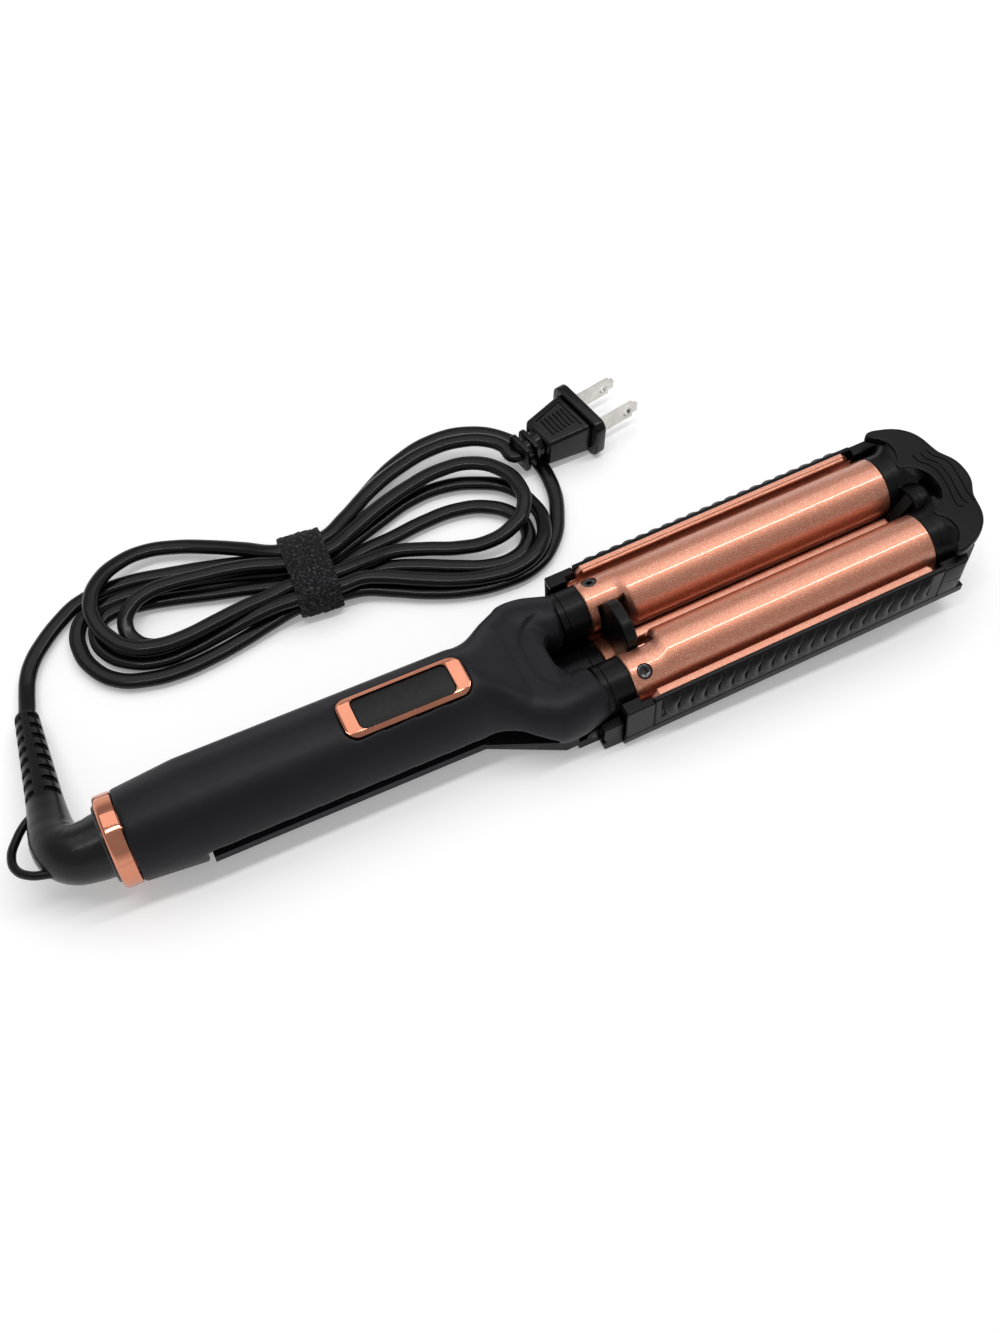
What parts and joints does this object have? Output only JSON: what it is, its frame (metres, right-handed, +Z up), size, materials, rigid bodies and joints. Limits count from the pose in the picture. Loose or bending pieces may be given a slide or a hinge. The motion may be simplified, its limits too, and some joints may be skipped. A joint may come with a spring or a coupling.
{
  "type": "hair waver",
  "caption": "Electric hair waver: two fixed heated barrels on a forked handle, and a sprung lower clamp with a centre barrel and heated wings; folded mains cord on a swivel.",
  "frame": {"origin": "middle of the object without its free cord, on the table that it lies on", "axes": "+X along the handle towards the cool tip, +Y across towards the folded cord, +Z up out of the table; the handle lies level and the head tips up 3.4 degrees"},
  "size_m": [0.2973, 0.1312, 0.0321],
  "materials": {
    "soft_black": "soft-touch black paint with a faint satin sheen",
    "moulded_black": "moulded heat-resistant black plastic, fine texture",
    "gloss_black": "black plastic with a satin gloss",
    "pad_black": "fine-grained black keypad skin",
    "copper_coat": "rose-copper ceramic coating with a fine metallic speckle",
    "rose_gold": "polished rose-gold plating",
    "steel": "plain steel",
    "dark_steel": "black oxide steel",
    "nickel": "nickel-plated brass, satin",
    "board_green": "glass-fibre board with green solder mask",
    "wire_red": "silicone-insulated wire",
    "heater_alloy": "extruded aluminium heater block",
    "ceramic_white": "ceramic fuse body",
    "cord_rubber": "black flexible cord jacket",
    "tie_fabric": "black hook-and-loop strap"
  },
  "bodies": {
    "root": {"handle_top_shell": "soft_black", "handle_liner": "moulded_black", "handle_screws": "steel", "end_ring": "rose_gold", "swivel_socket": "moulded_black", "display_bezel": "rose_gold", "circuit_board": "board_green", "tact_switches": "steel", "wiring_harness": "wire_red", "collar_left": "moulded_black", "collar_right": "moulded_black", "upper_barrel_left": "copper_coat", "upper_barrel_right": "copper_coat", "barrel_screws": "dark_steel", "heater_left": "heater_alloy", "heater_right": "heater_alloy", "thermal_fuse": "ceramic_white", "end_cap_left": "moulded_black", "end_cap_right": "moulded_black", "cool_tip": "moulded_black", "tip_screws": "steel", "hinge_pin": "steel", "return_spring": "steel"},
    "clamp": {"clamp_body": "moulded_black", "lever": "soft_black", "centre_barrel": "copper_coat", "centre_heater": "heater_alloy", "centre_collar": "moulded_black", "centre_nose": "moulded_black", "hair_guard": "moulded_black", "wing_plate_left": "copper_coat", "wing_plate_right": "copper_coat", "wing_cover_left": "moulded_black", "wing_cover_right": "moulded_black", "wing_end_blocks": "moulded_black", "wing_tip_caps": "moulded_black", "clamp_screws": "steel"},
    "control_pad": {"control_pad": "pad_black"},
    "cord_swivel": {"swivel_elbow": "gloss_black", "strain_relief": "cord_rubber", "hang_loop": "cord_rubber", "cord_lead": "cord_rubber", "cord_hank": "cord_rubber", "cord_tie": "tie_fabric", "plug_collar": "cord_rubber", "plug_body": "cord_rubber", "plug_blades": "nickel"}
  },
  "joints": [
    {"name": "clamp_hinge", "type": "hinge", "parent": "root", "child": "clamp", "pos_m": [0.01375, 0, 0.00415], "axis": [0, 1, 0], "range_deg": [0, 6], "stiffness_Nm_per_rad": 1.2, "springref_deg": -14.32},
    {"name": "pad_press", "type": "slide", "parent": "root", "child": "control_pad", "axis": [0, 0, -1], "range_m": [0, 0.0005], "stiffness_N_per_m": 300, "springref_m": -0.001},
    {"name": "cord_swivel", "type": "hinge", "parent": "root", "child": "cord_swivel", "pos_m": [-0.12284, 0, 0.0163], "axis": [1, 0, 0], "continuous": true}
  ]
}
